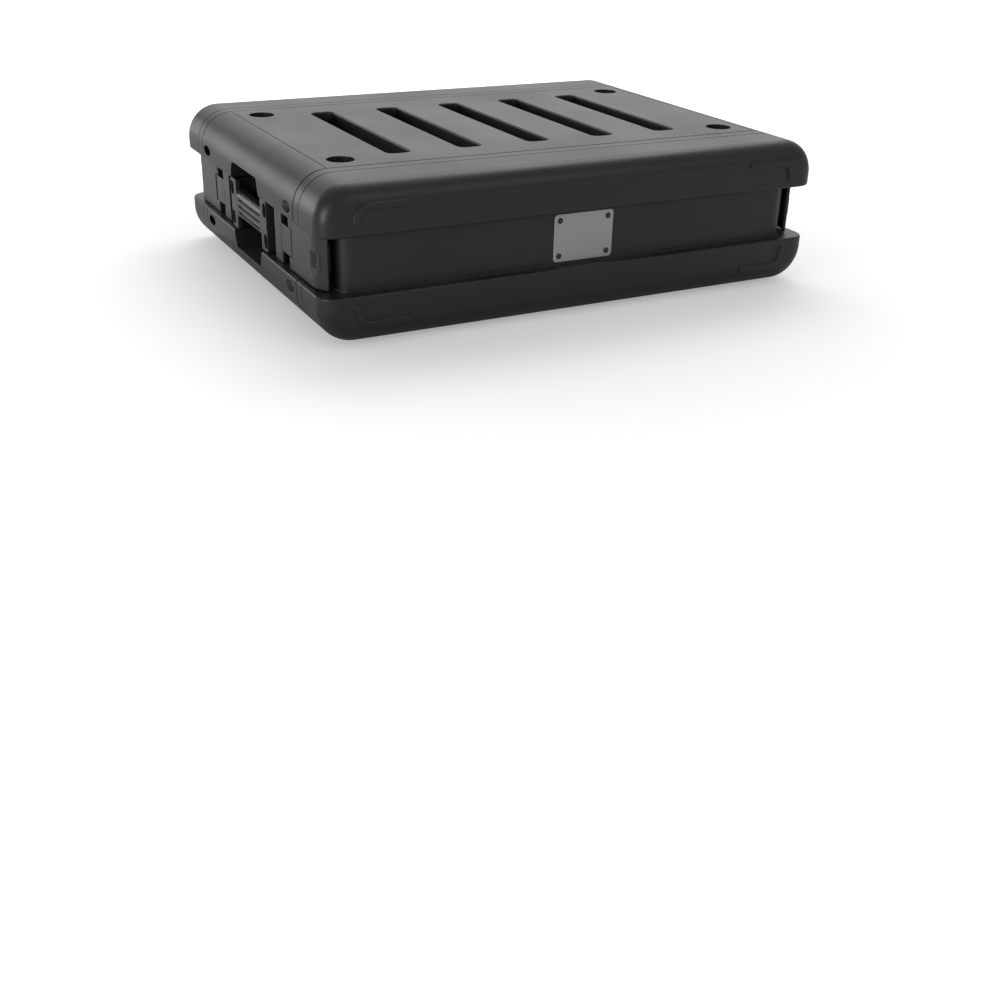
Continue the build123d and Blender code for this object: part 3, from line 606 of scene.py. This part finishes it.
def lever_grids():
    """The lever's rounded plate section carried along its path, with a fine net over the thumb dish, then
    two prongs with knuckles at the pin and the claw behind the bend."""
    length = 178.0 - 126.1 + 26.0 * math.radians(50)
    dish_at = length - 18.6
    fine = np.arange(-8.4, 11.6, 0.3)
    distance = np.concatenate([[0, 10, 20, 30], np.linspace(34, dish_at - 9, 8), dish_at + fine,
                               np.linspace(dish_at + 12, length - 1, 4)])
    cosine, sine = arc(0, 90, 4)
    fine_up = np.concatenate([np.arange(-15.6, 15.7, 0.4)])
    up = np.concatenate([[-26, -20.3, -14.6 - 2.4], fine_up, [14.6 + 2.4, 20.3, 26]])
    up = np.unique(np.round(np.append(up, (-14.6, 14.6)), 4))
    edge_up = 26 + sine[1:]
    edge_depth = 1 - cosine[1:]
    section_up = np.concatenate([up, edge_up, edge_up[::-1], up[::-1], -edge_up, -edge_up[::-1]])
    section_depth = np.concatenate([np.zeros(len(up)), edge_depth, 4 - edge_depth[::-1], np.full(len(up), 4.0),
                                    4 - edge_depth, edge_depth[::-1]])
    outer = np.arange(len(section_up)) < len(up)
    relief = lever_relief(distance[:, None] - dish_at, section_up[None, :]) * outer
    draw = np.zeros(len(distance))
    tip_distance = length - 1 + sine[1:]
    tip_draw = 1 - cosine[1:]
    distance = np.concatenate([distance, tip_distance, [length]])
    draw = np.concatenate([draw, tip_draw, [1.0]])
    relief = np.concatenate([relief, np.zeros((5, len(section_up)))])
    middle = 2.0
    depth = middle + (section_depth[None, :] - middle) * (1 - draw[:, None] / 2) + relief
    height = section_up[None, :] * (1 - draw[:, None] / 27)
    depth[-1], height[-1] = middle, 0
    x, y = lever_path(distance[:, None], depth)
    plate = np.stack([x, y + 0 * x, height + 0 * x], axis=-1)
    grids = [(plate, False, True)]
    slot = np.abs(up) <= 14.6
    count = len(up)
    front = plate[0, :count][slot]
    rear = plate[0, count + 8:2 * count + 8][::-1][slot]
    grids.append((np.stack([front, rear]), False, False))
    for side in (-1, 1):
        low, high = sorted((side * 14.6, side * 27))
        grids.append(slab((-280, -127.0, low), (-276, -116.0, high), 0, 1.2, 0.6))
        grids.append(upright_rod((-275.5, -121.0), 4.5, low, high, bore=2.1))
    grids.append(slab((-277.0, -188.0, -13), (-264.5, -184.0, 13), 1, 1.5, 0.8))
    return grids


def upright_rod(centre, radius, low, high, bore=0.0, edge=0.4):
    """Upright round bar with softened ends, closed at both, or open right through where it has a bore."""
    cosine, sine = arc(0, 360, 28)
    circle = np.column_stack([cosine[:-1], sine[:-1]])
    stations = ((bore, low), (radius - edge, low), (radius, low + edge), (radius, high - edge),
                (radius - edge, high), (bore, high))
    rows = [np.column_stack([circle * size + centre, np.full(len(circle), z)]) for size, z in stations]
    return np.stack(rows), bore > 0, True


def link_grids():
    """T-shaped link: a full-height strip, a narrow tab into the lever, and the two knuckles."""
    return [slab((-280, -96, -27), (-276, -75, 27), 0, 1.5, 0.7),
            slab((-280, -121, -14), (-276, -94, 14), 0, 0.8, 0.6),
            slab((-277, -88.5, -20.4), (-272.3, -79.5, 20.4), 0, 0.6, 0.3),
            upright_rod((-270, -84), 4.5, -20.4, 20.4, bore=2.1),
            upright_rod((-275.5, -121), 4.5, -14, 14, bore=2.1)]


def base_grids():
    """Base plate on the belt wall with two ears round the link pin."""
    grids = [slab((-265, -95, -26), (-262, -73, 26), 0, 2.0, 0.6)]
    for low, high in ((-26, -21), (21, 26)):
        grids.append(slab((-267.7, -88.5, low), (-263, -79.5, high), 2, 0.8, 0.4))
        grids.append(upright_rod((-270, -84), 4.5, low, high, bore=2.1))
    return grids


places = {"front_left": (1, 1, 1), "front_right": (-1, 1, 1), "rear_left": (1, -1, 1), "rear_right": (-1, -1, 1)}
for place, flip in places.items():
    for label, grids in (("lever", lever_grids()), ("link", link_grids()), ("base", base_grids())):
        node = "latch_" + label + "_" + place
        build_piece(node + "_moulded", node, [(grid * flip, loop_rows, loop_columns)
                                              for grid, loop_rows, loop_columns in grids])

# Side handles
# Black nylon grips, injection moulded, screwed over the wells: a bar with a broad rounded crown and
# three grooves, whose ends swell into plates with two oblong screw recesses each.


def handle_grids():
    """The grip's section carried along Y. Its outer face has three rounded grooves that fade out near the
    plates, and the whole section swells a little where it runs into them."""
    z_fine = np.linspace(-13.2, 13.2, 89)
    edge = 6.0 - np.sqrt(np.maximum(36.0 - np.maximum(np.abs(z_fine) - 8.0, 0) ** 2, 0))
    cosine, sine = arc(0, 90, 8)
    back = np.column_stack([9 + 6 * sine, 8 + 6 * cosine])
    top = np.column_stack([[3.3, 6.0, 9.0], [13.6, 14.0, 14.0]])
    upper = np.concatenate([top, back[1:]])
    section = np.concatenate([np.column_stack([edge, z_fine]), upper, upper[::-1] * (1, -1)])
    y = np.concatenate([np.linspace(-40.5, -33, 16), np.linspace(-30, 30, 9), np.linspace(33, 40.5, 16)])
    near_plate = smooth_step((np.abs(y) - 35.5) / 4.5)
    fade = 1 - smooth_step((np.abs(y) - 34.0) / 2.0)
    rows = np.empty((len(y), len(section), 3))
    groove = sum(np.clip(1 - ((section[:, 1] - place) / 1.7) ** 2, 0, 1) ** 0.5 for place in (-7, 0, 7))
    groove = 2.6 * groove * (np.arange(len(section)) < len(z_fine))
    swell = 1 + 0.16 * near_plate[:, None] ** 2
    rows[..., 0] = -283 + section[None, :, 0] + fade[:, None] * groove[None, :]
    rows[..., 1] = y[:, None]
    rows[..., 2] = section[None, :, 1] * swell
    grids = [(rows, False, True)]
    for end in (-1, 1):
        for up in (-1, 1):
            grids += end_plate(end, up)
    return grids


def end_plate(end, up):
    """Half of an end plate and its foot, each a rectangle round an oblong screw recess. Each ring of
    points runs straight from the rectangle's edge to the recess; the foot closes at the screw's seat."""
    angle = np.radians(np.arange(0, 360, 7.5))
    direction = np.column_stack([np.cos(angle), np.sin(angle)])
    recess = np.array([52.5, 16.0])
    seats = []
    for low, high, soft in (((40, 0), (58, 26.5), 0.5), ((47, 0), (58, 25.9), 0.0)):
        half = (np.array(high) - low) / 2
        centre = (np.array(high) + low) / 2
        stretch = 1 / np.abs(direction / half).max(axis=1)
        outline = centre + direction * stretch[:, None]
        core = np.clip(outline - recess, (0, -2.7), (0, 2.7))
        away = outline - recess - core
        away /= np.linalg.norm(away, axis=1)[:, None]
        bound = [np.column_stack([np.clip(outline[:, 0], low[0] + inset, high[0] - inset),
                                  np.minimum(outline[:, 1], high[1] - inset)]) for inset in (0, 0.3 * soft, soft)]
        hole = [recess + core + away * radius for radius in (4.86, 4.8, 0)]
        seats.append((bound, hole))
    (bound, hole), (foot_bound, foot_hole) = seats
    plate = [(bound[0], 5), (bound[0], 0.5), (bound[1], 0.15), (bound[2], 0), (hole[0], 0), (hole[1], 0.1), (hole[1], 5)]
    foot = [(foot_bound[0] * 0 + recess, 21), (foot_bound[0], 21), (foot_bound[0], 5), (foot_hole[1], 5),
            (foot_hole[1], 12), (foot_hole[2] * 0 + recess, 12)]
    return [(np.stack([np.column_stack([np.full(len(angle), depth - 283.0), end * loop[:, 0], up * loop[:, 1]])
                       for loop, depth in rows]), closed, True) for rows, closed in ((plate, True), (foot, False))]


build_piece("handle_left_grip", "handle_left", handle_grids())
build_piece("handle_right_grip", "handle_right", [(grid * (-1, 1, 1), loop_rows, loop_columns)
                                                  for grid, loop_rows, loop_columns in handle_grids()])

# Panels
# Moulded top and bottom plates between the side mouldings, with five long stiffening pockets and
# four round sockets that take the feet of the next case. They keep the shapes of the solids.


def kept_shape(node, crease=32.0):
    """A merged copy of a CAD node: its flat faces are joined again and its round stretches smoothed."""
    source = nodes[node].data
    points = np.empty(len(source.vertices) * 3)
    source.vertices.foreach_get("co", points)
    corners = np.empty(len(source.loops), dtype=np.int32)
    source.loops.foreach_get("vertex_index", corners)
    mesh = bpy.data.meshes.new(node + "_moulded")
    mesh.from_pydata(points.reshape(-1, 3).tolist(), [], corners.reshape(-1, 3).tolist())
    return finish_piece(node + "_moulded", node, mesh, crease, flat_angle=0.05)


for node in ("top_panel", "bottom_panel"):
    kept_shape(node)

# Side mouldings
# C-shaped moulded walls with two bumper bands, the belt between them, the well behind the handle
# and four scooped screw pockets. They keep the shapes of the solids.

for node in ("side_moulding_left", "side_moulding_right"):
    kept_shape(node)

# Name plate
# Brushed grey aluminium plate, left bare, stamped from 1.2 mm sheet with rounded corners and held
# to the front belt by four dome-headed rivets.


def bare_metal(name, colour, metallic, smooth, rough, streak):
    """Metal with a cloudy gloss, fine streaks along X as bump, and rubbed edges that shine more."""
    material = bpy.data.materials.new(name)
    material.use_nodes = True
    tree = material.node_tree
    link = tree.links.new
    shader = tree.nodes["Principled BSDF"]
    shader.inputs["Metallic"].default_value = metallic
    grain = tree.nodes.new("ShaderNodeGroup")
    grain.node_tree = grain_group
    grain.inputs["Scale"].default_value = 900
    edges = tree.nodes.new("ShaderNodeGroup")
    edges.node_tree = edge_group
    edges.inputs["Width"].default_value = 0.0004
    tint = tree.nodes.new("ShaderNodeMix")
    tint.data_type = "RGBA"
    tint.inputs["A"].default_value = (*colour, 1)
    tint.inputs["B"].default_value = (*(min(1.0, 1.8 * part) for part in colour), 1)
    link(edges.outputs["Mask"], tint.inputs["Factor"])
    link(tint.outputs["Result"], shader.inputs["Base Color"])
    link(map_range(tree, grain.outputs["Cloud"], 0.3, 0.7, smooth, rough), shader.inputs["Roughness"])
    stretch = tree.nodes.new("ShaderNodeVectorMath")
    stretch.operation = "MULTIPLY"
    stretch.inputs[1].default_value = (0.02, 1.0, 1.0)
    link(tree.nodes.new("ShaderNodeTexCoord").outputs["Object"], stretch.inputs[0])
    bump = tree.nodes.new("ShaderNodeBump")
    bump.inputs["Distance"].default_value = streak
    link(noise(tree, 2500.0, 3.0, stretch.outputs["Vector"]), bump.inputs["Height"])
    link(edges.outputs["Soft Normal"], bump.inputs["Normal"])
    link(bump.outputs["Normal"], shader.inputs["Normal"])
    return material


finishes["plate_metal"] = bare_metal("plate_metal", (0.42, 0.42, 0.43), 0.9, 0.34, 0.46, 0.000012)
build_piece("name_plate_sheet", "name_plate", [slab((-34.5, -208.2, -24.5), (34.5, -207.0, 24.5), 1, 4.0, 0.3)])

finishes["screw_steel"] = bare_metal("screw_steel", (0.05, 0.05, 0.052), 0.7, 0.32, 0.45, 0.000003)
dome_cos, dome_sin = arc(0, 90, 6)
dome = [(3.0 * c, -208.2 - 0.25 - 0.75 * s) for c, s in zip(dome_cos[:-1], dome_sin[:-1])]
build_piece("name_plate_rivet_heads", "name_plate_rivets",
            [turned((x, z), [(2.0, -207.0), (2.0, -208.2), (3.0, -208.2), *dome, (0.0, -209.2)])
             for x in (-28, 28) for z in (-18, 18)])

# Screws
# Black pan-head machine screws with a hexagon socket: eight along Y through the side mouldings'
# pockets into the rims, eight along X in the handles' recesses, four to each, and eight that hold the rails.


def screw(place, axis, way, head_radius, head_height, shank_radius, shank_length):
    """Screw about an axis from the point where its head seats: a shank one way, a soft-edged head the other
    with a hexagon socket sunk in it, each as rings of 24 points closed at both ends."""
    cosine, sine = arc(0, 360, 24)
    circle = np.column_stack([cosine[:-1], sine[:-1]])
    angle = np.radians(np.linspace(0, 360, 25)[:-1])
    hexagon = circle * (0.46 * head_radius / np.cos((angle + math.pi / 6) % (math.pi / 3) - math.pi / 6))[:, None]
    h = head_height
    stations = [(circle * 0, -shank_length), (circle * (shank_radius - 0.4), -shank_length),
                (circle * shank_radius, 0.5 - shank_length), (circle * shank_radius, 0), (circle * head_radius, 0),
                (circle * head_radius, 0.6 * h), (circle * 0.93 * head_radius, 0.86 * h),
                (circle * 0.8 * head_radius, h), (hexagon * 1.05, h), (hexagon, 0.95 * h), (hexagon, 0.35 * h),
                (circle * 0, 0.3 * h)]
    a, b = [k for k in range(3) if k != axis]
    rows = np.empty((len(stations), len(circle), 3))
    for row, (loop, along) in zip(rows, stations):
        row[:, a], row[:, b] = place[a] + loop[:, 0], place[b] + loop[:, 1]
        row[:, axis] = place[axis] + way * along
    return rows, False, True


build_piece("case_screw_set", "case_screws", [screw((sx * 277, sy * 144.0, sz * 39), 1, -sy, 3.5, 2.6, 2.0, 15.0)
                                              for sx in (-1, 1) for sy in (-1, 1) for sz in (-1, 1)])
build_piece("handle_screw_set", "handle_screws", [screw((sx * 271, sy * 52.5, sz * 16), 0, sx, 4.5, 3.0, 2.5, 14.0)
                                                  for sx in (-1, 1) for sy in (-1, 1) for sz in (-1, 1)])
build_piece("rail_screw_set", "rail_screws", [screw((sx * 256, sy * 124.0, sz * 20), 0, -sx, 5.5, 3.2, 3.0, 6.0)
                                              for sx in (-1, 1) for sy in (-1, 1) for sz in (-1, 1)])

# Feet, pins and rails
# Black rubber feet pressed into the bottom sockets, plain steel hinge pins in the latches, and
# powder-coated steel angles with the rack hole pattern.


def upright_turn(centre, stations):
    """Round form about an upright axis through (x, y), from (radius, z) stations, closed at both ends."""
    cosine, sine = arc(0, 360, 40)
    circle = np.column_stack([cosine[:-1], sine[:-1]])
    rows = [np.column_stack([circle * radius + centre, np.full(len(circle), z)])
            for radius, z in [(0, stations[0][1]), *stations, (0, stations[-1][1])]]
    return np.stack(rows), False, True


foot = [(9.0, -79.2), (9.6, -80.0), (12.5, -80.0), (13.3, -79.6), (13.7, -78.8), (13.7, -70.4), (13.3, -70.0)]
build_piece("rubber_foot_set", "rubber_feet", [upright_turn((sx * 224.6, sy * 118.6), foot)
                                               for sx in (-1, 1) for sy in (-1, 1)])
finishes["pin_steel"] = bare_metal("pin_steel", (0.5, 0.5, 0.5), 1.0, 0.25, 0.35, 0.000002)
for place, (flip_x, flip_y, _) in places.items():
    build_piece("link_pin_rod_" + place, "link_pin_" + place,
                [upright_rod((-270 * flip_x, -84 * flip_y), 2.0, -26, 26)])
    build_piece("lever_pin_rod_" + place, "lever_pin_" + place,
                [upright_rod((-275.5 * flip_x, -121 * flip_y), 2.0, -27, 27)])
finishes["rail_steel"] = moulded_plastic("rail_steel", (0.02, 0.02, 0.02), (0.1, 0.1, 0.1), 0.32, 0.42, 1100, 0.00002)
for place in places:
    kept_shape("rack_rail_" + place)
